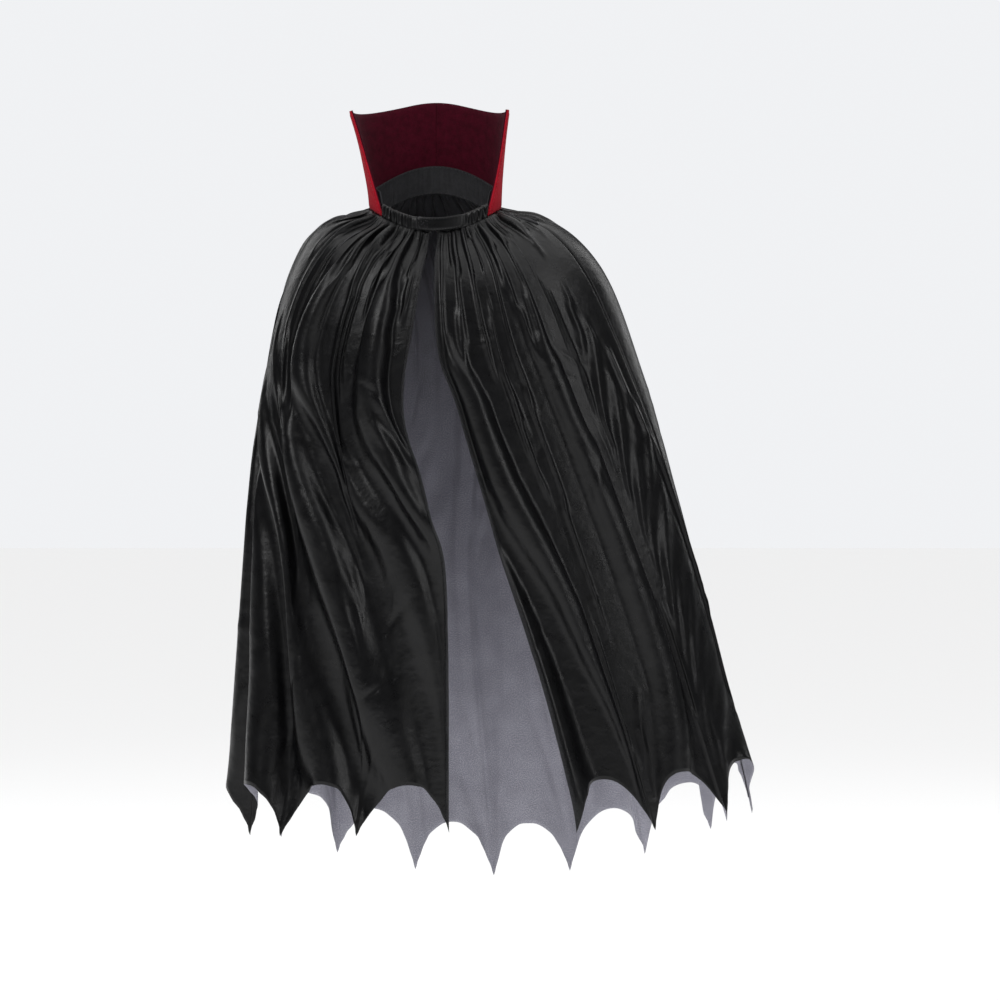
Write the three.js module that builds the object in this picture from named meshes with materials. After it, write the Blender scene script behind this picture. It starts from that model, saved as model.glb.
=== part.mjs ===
// A child's masquerade cape: gathered black satin with a scalloped hem, a stiff red stand-up collar,
// and a hook-and-loop closing tab at the throat. Sizes in millimetres.
// The front faces -Y, +X is the wearer's left, +Z is up, and the origin is the centre of the neck opening.
import * as THREE from "three";

const degrees = THREE.MathUtils.degToRad;
const lerp = THREE.MathUtils.lerp;
const smooth = THREE.MathUtils.smoothstep;

// Driving dimensions
const SATIN = 1.6; // thickness of every satin body, folds and nap included
const GAP = 0.3; // clearance between pieces that touch
const SCALLOP_DEPTH = 48;
const BACK_LENGTH = 655; // neckline to hem, measured on the cloth
const FRONT_LENGTH = 570;
const BACK_SCALLOPS = 8;
const FLAP_SCALLOPS = 2;
const FOLD_DEPTH = 13; // half the depth of the hanging folds at the hem
const BACK_FOLDS = 6;
const FLAP_START = 0.28; // where each front starts to fold back, as a part of its length
const LEFT_FLAP_END = degrees(67); // angle from the throat at which the fold reaches the hem
const RIGHT_FLAP_END = degrees(-66);
const NECK_STEP = degrees(7.5);
const THROAT = degrees(2.5); // half the gap between the two ends of the neckline
const END_GAP = 0.02; // angle left between a casing and the end of the collar
const COLLAR_START = 7 * NECK_STEP; // front end of the collar, from the throat
const COLLAR_SLANT = degrees(26); // how much further round its front ends stand at the top
const BINDING_START = COLLAR_START + degrees(10); // clear of the collar's slanting ends
const COLLAR_HEIGHT = { front: 92, back: 80 };
const COLLAR_LEAN = { left: 8, right: 19, back: 5 }; // how far its top leans out
const LEAN_REACH = { left: 0.55, right: 1.1 }; // the part of each half over which the lean dies away
const POINT_LOW = 0.3; // the collar point folds from this part of its front end
const POINT_BACK = 0.28; // to this part of the way round its top
const SEAM_GAP = 0.0016; // clearance at the side seams, as a part of the back's width
const FELT = 1.2;
const STIFFENER = 0.8;
const LAYER_GAP = 0.6; // clearance between the layers of the collar
const FOLD_GAP = 0.7; // clearance along the fold of a front
const POINT_GAP = 2.6; // and along the fold of a collar point

const ROWS = [0, 0.04, 0.08, 0.13, 0.2, FLAP_START, 0.36, 0.46, 0.58, 0.7, 0.82, 0.92, 1]; // down each sheet

const vec = (x, y, z) => new THREE.Vector3(x, y, z);
const outward = (angle) => vec(Math.sin(angle), -Math.cos(angle), 0);
const steps = (from, to, count) => Array.from({ length: count + 1 }, (_, i) => lerp(from, to, i / count));
const gridOf = (point, across, down) => across.map((a) => down.map((d) => point(a, d)));

const material = (color, roughness) => new THREE.MeshStandardMaterial({ color, roughness, metalness: 0 });
const blackSatin = () => material(0x17181c, 0.38);
const redFelt = () => material(0x9c1f2b, 0.95);
const whiteCloth = () => material(0xd9d9d6, 0.85);
const blackTape = () => material(0x0b0b0d, 0.8);

// Guide lines from the neckline to the hem, down the middle of each side of the cape
const guide = (...points) => new THREE.CatmullRomCurve3(points.map((p) => vec(...p)), false, "centripetal");
const frontGuide = guide([0, -58, -24], [0, -84, -58], [0, -98, -112], [0, -105, -210], [0, -116, -563]);
const backGuide = guide([0, 58, 24], [0, 88, 2], [0, 104, -62], [0, 113, -170], [0, 132, -625]);
const leftGuide = guide([62, 0, 0], [112, 0, -9], [156, 0, -48], [198, 0, -145], [245, 0, -300], [308, 0, -548]);
const rightGuide = guide([-62, 0, 0], [-104, 0, -8], [-134, 0, -48], [-162, 0, -145], [-174, 0, -300],
  [-181, 0, -566]);

// Sideways place of each free front edge against the part of the length gone down
const edgeLine = (...points) => new THREE.SplineCurve(points.map((p) => new THREE.Vector2(...p)));
const leftEdge = edgeLine([0, 4.5], [0.14, 3], [0.28, 20], [0.5, 55], [0.75, 98], [1, 133]);
const rightEdge = edgeLine([0, -4.5], [0.14, -22], [0.28, -32], [0.5, 0], [0.75, 12], [1, 12]);

// The sideways place of an edge a part of the way down, found by halving
function edgePlace(edge, down) {
  let low = 0;
  let high = 1;
  for (let i = 0; i < 24; i++) {
    const middle = (low + high) / 2;
    if (edge.getPoint(middle).x < down) low = middle;
    else high = middle;
  }
  return edge.getPoint(low).y;
}

// The smooth cape at an angle from the throat (positive to the wearer's left) and a part of its length
function drape(angle, down) {
  const left = leftGuide.getPointAt(down);
  const right = rightGuide.getPointAt(down);
  const middle = (Math.cos(angle) > 0 ? frontGuide : backGuide).getPointAt(down);
  const side = Math.sin(angle) > 0 ? left : right;
  return vec(
    (left.x + right.x) / 2 + ((left.x - right.x) / 2) * Math.sin(angle),
    middle.y * Math.abs(Math.cos(angle)),
    lerp(middle.z, side.z, Math.sin(angle) ** 2),
  );
}

// The angle at which the front of the smooth cape has a given sideways place
function angleAt(place, down) {
  const left = leftGuide.getPointAt(down).x;
  const right = rightGuide.getPointAt(down).x;
  return Math.asin((2 * place - left - right) / (left - right));
}

// A front hangs from its free edge to the side seam, and folds back about the straight line
// from a point on the free edge to a tip of the hem.
function makeFront(sign, edge, hemAngle) {
  const edgeAngle = (down) => angleAt(edgePlace(edge, down), down);
  const start = drape(edgeAngle(FLAP_START), FLAP_START);
  const end = drape(hemAngle, 1);
  const foldAt = (down) => start.clone().lerp(end, (down - FLAP_START) / (1 - FLAP_START));
  return { sign, edgeAngle, foldAt };
}

// The part of the length that the round arches of the hem leave out
const hemLift = (across, scallops, length) => {
  const part = across * scallops - Math.floor(across * scallops);
  return (Math.sqrt(1 - (2 * part - 1) ** 2) * SCALLOP_DEPTH) / length;
};

// The sheets of satin, each over its width and its length from 0 to 1
function backSheet(across, down) {
  const reach = down * (1 - hemLift(across, BACK_SCALLOPS, BACK_LENGTH));
  const angle = Math.PI * (0.5 + across);
  const wave = Math.sin(across * BACK_FOLDS * 2 * Math.PI) * Math.sin(across * Math.PI);
  return drape(angle, reach).addScaledVector(outward(angle), wave * FOLD_DEPTH * smooth(reach, 0.08, 1));
}

function flapSheet(front, across, down) {
  const reach = lerp(FLAP_START, 1 - hemLift(across, FLAP_SCALLOPS, FRONT_LENGTH), down);
  const free = drape(front.edgeAngle(reach), reach);
  const fold = front.foldAt(reach);
  const part = across * (1 - FOLD_GAP / free.distanceTo(fold));
  const wave = Math.sin(across * Math.PI) * Math.sin(across * 2 * Math.PI);
  return free.lerp(fold, part).add(vec(0, wave * FOLD_DEPTH * down, 0));
}

function yokeSheet(front, across, down) {
  const reach = down * (1 - hemLift(across, 1, FRONT_LENGTH));
  const side = (front.sign * Math.PI) / 2;
  if (reach <= FLAP_START) return drape(lerp(front.edgeAngle(reach), side, across), reach);
  const fold = front.foldAt(reach);
  const from = angleAt(fold.x, reach);
  const pull = fold.sub(drape(from, reach)).multiplyScalar((1 - across) ** 2);
  return drape(lerp(from, side, across), reach).add(pull);
}

// The same grid of points moved inwards along its own normals
function inwards(grid, distance) {
  return grid.map((column, i) => column.map((point, j) => {
    const before = grid[Math.max(i - 1, 0)];
    const after = grid[Math.min(i + 1, grid.length - 1)];
    const downwards = column[Math.min(j + 1, column.length - 1)].clone().sub(column[Math.max(j - 1, 0)]);
    const sideways = after[j].clone().sub(before[j]);
    return point.clone().addScaledVector(downwards.cross(sideways).normalize(), -distance);
  }));
}

// A closed body between an outer and an inner grid of points
function bodyBetween(outer, inner) {
  const right = outer.length - 1;
  const low = outer[0].length - 1;
  const positions = [];
  const quad = (a, b, c, d) => [a, b, c, a, c, d].forEach((p) => positions.push(...p.toArray()));
  for (let i = 0; i < right; i++) {
    for (let j = 0; j < low; j++) {
      quad(outer[i][j], outer[i][j + 1], outer[i + 1][j + 1], outer[i + 1][j]);
      quad(inner[i][j], inner[i + 1][j], inner[i + 1][j + 1], inner[i][j + 1]);
    }
    quad(outer[i][0], outer[i + 1][0], inner[i + 1][0], inner[i][0]);
    quad(outer[i + 1][low], outer[i][low], inner[i][low], inner[i + 1][low]);
  }
  for (let j = 0; j < low; j++) {
    quad(outer[0][j + 1], outer[0][j], inner[0][j], inner[0][j + 1]);
    quad(outer[right][j], outer[right][j + 1], inner[right][j + 1], inner[right][j]);
  }
  return new THREE.BufferGeometry().setAttribute("position", new THREE.Float32BufferAttribute(positions, 3));
}

const layer = (grid, from, to) => bodyBetween(inwards(grid, from), inwards(grid, to));

// A closed body: an anticlockwise outline of (out, up) offsets carried along the neckline
function alongNeck(angles, outline) {
  const place = (angle, [out, up]) => drape(angle, 0).addScaledVector(outward(angle), out).add(vec(0, 0, up));
  const rings = angles.map((angle) => outline.map((corner) => place(angle, corner)));
  const positions = [];
  const triangle = (a, b, c) => [a, b, c].forEach((p) => positions.push(...p.toArray()));
  for (let i = 0; i < rings.length - 1; i++) {
    outline.forEach((_, j) => {
      const next = (j + 1) % outline.length;
      triangle(rings[i][j], rings[i + 1][next], rings[i][next]);
      triangle(rings[i][j], rings[i + 1][j], rings[i + 1][next]);
    });
  }
  const caps = THREE.ShapeUtils.triangulateShape(outline.map((p) => new THREE.Vector2(...p)), []);
  for (const [a, b, c] of caps) {
    triangle(rings[0][a], rings[0][b], rings[0][c]);
    triangle(rings.at(-1)[a], rings.at(-1)[c], rings.at(-1)[b]);
  }
  return new THREE.BufferGeometry().setAttribute("position", new THREE.Float32BufferAttribute(positions, 3));
}

const strip = (out, thick, low, high) => [[out, low], [out + thick, low], [out + thick, high], [out, high]];

const cape = new THREE.Group();
function add(name, geometry, look) {
  const mesh = new THREE.Mesh(geometry, look);
  mesh.name = name;
  cape.add(mesh);
}

// A strip that runs along the first column of a sheet, just outside it
function edgeStrip(grid, width) {
  const shift = (distance) => grid[0].map((point, j) => {
    const away = point.clone().sub(grid[1][j]).normalize();
    return point.clone().addScaledVector(away, distance);
  });
  return [shift(GAP + width), shift(GAP)];
}

// The right-hand sheets run the other way, so that their outer faces still face out
const facing = (front, grid) => (front.sign > 0 ? grid : [...grid].reverse());

function addFront(side, front, backColumns) {
  const yoke = gridOf((a, d) => yokeSheet(front, a, d), steps(0, 1, 10), ROWS);
  const flap = gridOf((a, d) => flapSheet(front, a, d), steps(0, 1, 14), steps(0.05, 1, 10));
  add(`${side}_front_panel`, layer(facing(front, yoke), 0, SATIN), blackSatin());
  add(`${side}_front_flap`, layer(facing(front, flap), 0, SATIN), blackSatin());

  const upperEdge = edgeStrip(yoke.map((column) => column.slice(0, 6)), 2.5);
  add(`${side}_upper_edge_overlock`, layer(facing(front, upperEdge), 0, SATIN), blackTape());
  add(`${side}_flap_edge_overlock`, layer(facing(front, edgeStrip(flap, 2.5)), 0, SATIN), blackTape());

  const seam = [yoke.at(-1), backColumns[0]];
  const inner = [yoke.at(-2), backColumns[1]];
  const allowance = [
    seam[0].map((point, j) => point.clone().lerp(inner[0][j], 0.5)),
    seam[0],
    seam[1].map((point, j) => point.clone().lerp(inner[1][j], 0.5)),
  ].map((column) => column.slice(1, -2));
  add(`${side}_side_seam`, layer(facing(front, allowance), SATIN + 3 * GAP, SATIN + 3 * GAP + 1), blackTape());
}

const leftFront = makeFront(1, leftEdge, LEFT_FLAP_END);
const rightFront = makeFront(-1, rightEdge, RIGHT_FLAP_END);
const back = gridOf(backSheet, steps(SEAM_GAP, 1 - SEAM_GAP, BACK_SCALLOPS * 6), ROWS);
add("back_panel", layer(back, 0, SATIN), blackSatin());
addFront("left", leftFront, back);
addFront("right", rightFront, [...back].reverse());

// The collar surface over its length from the front end to the centre back, and its height from the top
function collarSheet(side, across, down) {
  const sign = side === "left" ? 1 : -1;
  const height = 1 - down;
  const start = COLLAR_START + COLLAR_SLANT * height * (2 - height);
  const angle = sign * lerp(start, Math.PI - 0.009, across);
  const flare = lerp(COLLAR_LEAN[side], COLLAR_LEAN.back, smooth(across, 0, LEAN_REACH[side]));
  const tall = lerp(COLLAR_HEIGHT.front, COLLAR_HEIGHT.back, smooth(across, 0, 0.8));
  const up = Math.sqrt(tall ** 2 - flare ** 2) * height;
  return drape(angle, 0).addScaledVector(outward(angle), flare * height ** 1.6 - 0.4).add(vec(0, 0, up));
}

function addCollar(side, sign) {
  const sheet = (across, down) => collarSheet(side, across, down);
  const low = sheet(0, 1 - POINT_LOW);
  const high = sheet(POINT_BACK, 0);
  const tip = sheet(0, 0);
  // Behind the fold the stand keeps its round shape and meets the straight fold line
  const stand = (across, down) => {
    const part = Math.max(0, (1 - down - POINT_LOW) / (1 - POINT_LOW));
    const from = part * POINT_BACK;
    const pull = low.clone().lerp(high, part).sub(sheet(from, down)).multiplyScalar((1 - across) ** 2);
    return part > 0 ? sheet(lerp(from, 1, across), down).add(pull) : sheet(across, down);
  };
  const point = (across, down) => {
    const free = low.clone().lerp(tip, 1 - down);
    const fold = low.clone().lerp(high, 1 - down);
    return free.lerp(fold, across * (1 - POINT_GAP / free.distanceTo(fold)));
  };
  const heights = [0, 0.2, 0.4, 0.55, 1 - POINT_LOW, 0.85, 1];
  const layers = { outer: [0, FELT], stiffener: [FELT + LAYER_GAP, FELT + LAYER_GAP + STIFFENER] };
  layers.lining = [layers.stiffener[1] + LAYER_GAP, layers.stiffener[1] + LAYER_GAP + FELT];
  for (const [name, [from, to]] of Object.entries(layers)) {
    const inset = name === "stiffener" ? 0.03 : 0;
    const look = name === "stiffener" ? whiteCloth : redFelt;
    const within = (part) => THREE.MathUtils.clamp(part, inset, 1 - inset);
    const standGrid = gridOf(stand, steps(0, 1, 17).map(within), heights.map(within));
    const pointGrid = gridOf(point, steps(inset * 2, 1 - inset, 1), [inset, 0.88]);
    add(`${side}_collar_${name}`, layer(facing({ sign }, standGrid), from, to), look());
    add(`${side}_collar_point_${name}`, layer(facing({ sign }, pointGrid), from, to), look());
  }
}

addCollar("left", 1);
addCollar("right", -1);

// The neckline: a folded casing at each front, a binding behind the collar and one tape inside them all
const neckAngles = (from, to) => [from, ...steps(-48, 48, 96).map((i) => i * NECK_STEP)
  .filter((angle) => angle > from + 0.01 && angle < to - 0.01), to];
const casingOutline = [[-5.7, -7], [-4.5, -7], [-4.5, 10.8], [-1.5, 10.8], [-1.5, 0.3], [-0.4, 0.3],
  [-0.4, 12], [-5.7, 12]];
add("left_neck_casing", alongNeck(neckAngles(THROAT, COLLAR_START - END_GAP), casingOutline), blackSatin());
add("right_neck_casing", alongNeck(neckAngles(END_GAP - COLLAR_START, -THROAT), casingOutline), blackSatin());
const bindingAngles = neckAngles(BINDING_START, 2 * Math.PI - BINDING_START);
add("neck_binding", alongNeck(bindingAngles, strip(-6.2, 1.2, -7, 20)), blackTape());
add("gathering_tape", alongNeck(neckAngles(THROAT * 2, 2 * Math.PI - THROAT * 2), strip(-3.6, 1.2, -7, -1)),
  whiteCloth());

// The throat closes with a tab that is stitched to the right end and sticks to the left end
const sticky = (from, to) => neckAngles(degrees(from), degrees(to));
add("tab_patch", alongNeck(sticky(-15, -4), strip(-0.1, 2.1, 1, 12)), blackTape());
add("closure_tab", alongNeck(sticky(-14, 24), strip(2.3, 1.3, 0.6, 12.6)), blackSatin());
add("hook_strip", alongNeck(sticky(5, 23), strip(1.1, 0.9, 1.2, 12)), blackTape());
add("loop_strip", alongNeck(sticky(5, 23), strip(-0.1, 0.9, 1.2, 12)), blackTape());

// A blank care label hangs inside from the left side seam
function labelPoint(across, down) {
  const seam = leftGuide.getPointAt(lerp(0.55, 0.61, down));
  return seam.add(vec(lerp(-5, -20, across), lerp(0, 20, across), 0));
}
add("care_label", layer(gridOf(labelPoint, [0, 1], [0, 1]), 0, 0.8), whiteCloth());

export default cape;
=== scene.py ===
# A child's masquerade cape: gathered black satin, a scalloped hem and a stiff red stand-up collar.
# Lengths are in metres. The front faces -Y, +X is the wearer's left, +Z is up, and the origin is the
# centre of the neck opening.
import math

import bpy
import numpy as np
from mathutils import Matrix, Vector


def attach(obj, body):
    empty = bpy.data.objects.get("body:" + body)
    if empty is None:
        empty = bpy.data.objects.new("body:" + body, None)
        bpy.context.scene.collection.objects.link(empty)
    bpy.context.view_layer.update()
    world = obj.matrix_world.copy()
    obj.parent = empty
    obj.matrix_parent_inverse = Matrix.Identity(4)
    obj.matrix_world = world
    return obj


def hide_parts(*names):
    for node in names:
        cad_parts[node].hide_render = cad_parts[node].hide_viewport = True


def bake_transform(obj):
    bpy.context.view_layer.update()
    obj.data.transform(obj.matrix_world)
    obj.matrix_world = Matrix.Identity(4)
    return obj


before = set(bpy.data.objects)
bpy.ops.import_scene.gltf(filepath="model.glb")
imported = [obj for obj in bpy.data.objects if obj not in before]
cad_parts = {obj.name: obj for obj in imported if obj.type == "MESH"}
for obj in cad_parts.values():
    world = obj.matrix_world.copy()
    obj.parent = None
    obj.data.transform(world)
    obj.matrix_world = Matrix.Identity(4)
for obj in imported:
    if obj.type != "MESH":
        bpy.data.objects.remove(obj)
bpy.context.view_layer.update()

# The cut of the cloth
SCALLOPS = 14
FRONT_SCALLOPS = 3  # on each front; the rest are on the back
SCALLOP_DEPTH = 0.048
FRONT_LENGTH = 0.575
BACK_LENGTH = 0.66
CLOTH_THICKNESS = 0.0002
SEAM_ALLOWANCE = 0.009
SEAM_DIP = {"depth": 0.0012, "reach": 0.0022}  # where the cloth sinks in along a side seam
PRESSED_SEAM = 0.0008  # thickness of the folded allowance
THREAD = 0.00019  # radius of the black thread

# The simulated sheet
COLUMNS_PER_SCALLOP = 20
ROWS = 104
STEPS = 180

# The gathers and the folds that they run into: how many there are round the cape, and their depth as
# (part of the length, depth) down it
FOLDS = [
    (41, [(0, .0004), (.012, .0038), (.045, .0048), (.09, .0022), (.14, .0004), (.2, 0)]),
    (19, [(0, 0), (.04, .0022), (.1, .0060), (.2, .0068), (.35, .0050), (.6, .0024), (1, .0010)]),
    (11, [(0, 0), (.1, .0010), (.25, .0060), (.5, .0100), (1, .0120)]),
]
FOLD_DRIFT = 0.38  # how unevenly they are spaced

# Creases from the packet, as lines across and down the cut cloth
CREASES_ACROSS = (0.23, 0.43)
CREASES_DOWN = (-0.42, -0.21, 0.0, 0.21, 0.42)

# Each front folds back about a line from its free edge to a tip of the hem
FOLD_START = 0.28  # as a part of the front's length
FOLD_END = {"left": math.radians(67), "right": math.radians(-66)}  # as an angle from the throat

# The collar, in two halves that meet at the centre back
COLLAR_START = math.radians(52.5)
COLLAR_SLANT = math.radians(26)  # how much further round its front ends stand at the top
COLLAR_HEIGHT = {"front": 0.092, "back": 0.080}
COLLAR_LEAN = {"left": 0.008, "right": 0.019, "back": 0.005}
LEAN_REACH = {"left": 0.55, "right": 1.1}
POINT_LOW = 0.3
POINT_BACK = 0.28

# The closing tab and the hook-and-loop patches under it
TAB_OUT = 0.0036  # from the neckline to the face of the tab
PATCH_HEIGHTS = (0.0012, 0.012)

THROAT = math.radians(2.5)
SIGN = {"left": 1, "right": -1}
STAND_HEIGHT = 0.87  # of the neck opening above the floor

CAMERA_TARGET = (0.060, 0.0, -0.270)
CAMERA_PLACE = (0.060, -3.1, -0.200)
FRAME_HEIGHT = 0.93  # what the camera takes in at the cape


# Camera

def add_camera():
    camera = bpy.data.objects.new("camera", bpy.data.cameras.new("camera"))
    bpy.context.scene.collection.objects.link(camera)
    camera.location = CAMERA_PLACE
    away = Vector(CAMERA_TARGET) - camera.location
    camera.rotation_euler = away.to_track_quat("-Z", "Y").to_euler()
    camera.data.lens = camera.data.sensor_width * away.length / FRAME_HEIGHT
    bpy.context.scene.camera = camera


add_camera()


# The shape the cape hangs in

def spline(points, steps=60):
    """Points on a centripetal Catmull-Rom curve."""
    p = np.array(points, float)
    p = np.vstack([2 * p[0] - p[1], p, 2 * p[-1] - p[-2]])
    knots = np.r_[0, np.cumsum(np.sqrt(np.linalg.norm(np.diff(p, axis=0), axis=1)))]

    def mix(t, i, j, a, b):
        return ((knots[j] - t) * a + (t - knots[i]) * b) / (knots[j] - knots[i])

    pieces = []
    for k in range(1, len(p) - 2):
        t = np.linspace(knots[k], knots[k + 1], steps, endpoint=False)[:, None]
        first = mix(t, k - 1, k, p[k - 1], p[k])
        second = mix(t, k, k + 1, p[k], p[k + 1])
        third = mix(t, k + 1, k + 2, p[k + 1], p[k + 2])
        before = mix(t, k - 1, k + 1, first, second)
        after = mix(t, k, k + 2, second, third)
        pieces.append(mix(t, k, k + 1, before, after))
    return np.vstack(pieces + [p[-2:-1]])


def lengths_along(path):
    """Distance from the start of a path to each of its points."""
    return np.r_[0, np.cumsum(np.linalg.norm(np.diff(path, axis=0), axis=1))]


def guide(*points):
    """A line down one side of the cape in millimetres: (out, up) in metres at a part of its length."""
    curve = spline(points) / 1000
    along = lengths_along(curve)
    along /= along[-1]
    return lambda part: (np.interp(part, along, curve[:, 0]), np.interp(part, along, curve[:, 1]))


def edge_line(*points):
    """The sideways place of a free front edge at a part of the length."""
    curve = spline(points)
    return lambda part: np.interp(part, curve[:, 0], curve[:, 1]) / 1000


front_guide = guide((-58, -24), (-84, -58), (-98, -112), (-105, -210), (-116, -563))
back_guide = guide((58, 24), (88, 2), (104, -62), (113, -170), (132, -625))
side_guide = {
    "left": guide((62, 0), (112, -9), (156, -48), (198, -145), (245, -300), (308, -548)),
    "right": guide((-62, 0), (-104, -8), (-134, -48), (-162, -145), (-174, -300), (-181, -566)),
}
free_edge = {
    "left": edge_line((0, 4.5), (0.14, 3), (0.28, 20), (0.5, 55), (0.75, 98), (1, 133)),
    "right": edge_line((0, -4.5), (0.14, -22), (0.28, -32), (0.5, 0), (0.75, 12), (1, 12)),
}


def drape(angle, part):
    """The smooth cape at an angle from the throat, positive to the left, and a part of its length."""
    left_x, left_z = side_guide["left"](part)
    right_x, right_z = side_guide["right"](part)
    front_y, front_z = front_guide(part)
    back_y, back_z = back_guide(part)
    sine, cosine = np.sin(angle), np.cos(angle)
    middle_z = np.where(cosine > 0, front_z, back_z)
    side_z = np.where(sine > 0, left_z, right_z)
    return np.stack([
        (left_x + right_x) / 2 + (left_x - right_x) / 2 * sine,
        np.where(cosine > 0, front_y, back_y) * np.abs(cosine),
        middle_z + (side_z - middle_z) * sine**2,
    ], -1)


def angle_at(x, part):
    """The angle at which the front of the smooth cape has a sideways place."""
    left_x = side_guide["left"](part)[0]
    right_x = side_guide["right"](part)[0]
    return np.arcsin((2 * x - left_x - right_x) / (left_x - right_x))


def even_rings(count=721, rings=161, fine=2001):
    """The smooth cape as rings of even steps from one free edge round the back to the other."""
    parts = np.linspace(0, 1, rings)
    first = angle_at(free_edge["left"](parts), parts)
    last = 2 * np.pi + angle_at(free_edge["right"](parts), parts)
    table, lengths = [], []
    for part, start, end in zip(parts, first, last):
        angles = np.linspace(start, end, fine)
        along = lengths_along(drape(angles, part * np.ones(len(angles))))
        even = np.interp(np.linspace(0, along[-1], count), along, angles)
        table.append(drape(even, part * np.ones(count)))
        lengths.append(along[-1])
    return parts, np.array(table).transpose(1, 0, 2), np.array(lengths)


def look_up(grid, across, down):
    """Bilinear values of a grid of columns and rows at places from 0 to 1."""
    a = np.clip(across, 0, 1) * (grid.shape[0] - 1)
    b = np.clip(down, 0, 1) * (grid.shape[1] - 1)
    i = np.minimum(a.astype(int), grid.shape[0] - 2)
    j = np.minimum(b.astype(int), grid.shape[1] - 2)
    a, b = (a - i)[..., None], (b - j)[..., None]
    upper = grid[i, j] * (1 - a) + grid[i + 1, j] * a
    lower = grid[i, j + 1] * (1 - a) + grid[i + 1, j + 1] * a
    return upper * (1 - b) + lower * b


def grid_normals(grid):
    """Outward unit normals of a grid whose columns go round anticlockwise from above and rows go down."""
    normal = np.cross(np.gradient(grid, axis=1), np.gradient(grid, axis=0))
    return normal / np.maximum(np.linalg.norm(normal, axis=-1, keepdims=True), 1e-9)


def unit(vectors):
    return vectors / np.maximum(np.linalg.norm(vectors, axis=-1, keepdims=True), 1e-12)


def ramp(values, *stops):
    """Straight-line interpolation through (place, value) stops."""
    return np.interp(values, [s[0] for s in stops], [s[1] for s in stops])


def smooth(values, low, high):
    t = np.clip((values - low) / (high - low), 0, 1)
    return t * t * (3 - 2 * t)


# The cloth simulation

def uneven_wave(places, count, drift, generator):
    """Folds side by side of uneven width and height, as a value at each place from 0 to 1."""
    knots = np.arange(-1, count + 2)
    moved = knots + generator.uniform(-drift, drift, len(knots))
    phase = np.interp(places * count, moved, knots)
    height = np.interp(places * count, knots, generator.uniform(0.4, 1.4, len(knots)))
    return np.sin(2 * np.pi * phase) * height


def paired(size, step):
    """Slices of the two ends of links a step apart, in batches in which no point comes twice."""
    for start in range(2 * step):
        yield slice(start, size - step, 2 * step), slice(start + step, size, 2 * step)


def scallop_rise(place):
    """How far the hem rises at a place from 0 to 1 across a scallop: a round arch between sharp tips."""
    return SCALLOP_DEPTH * (1 - np.abs(2 * place - 1) ** 2.3) ** 0.85


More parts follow.
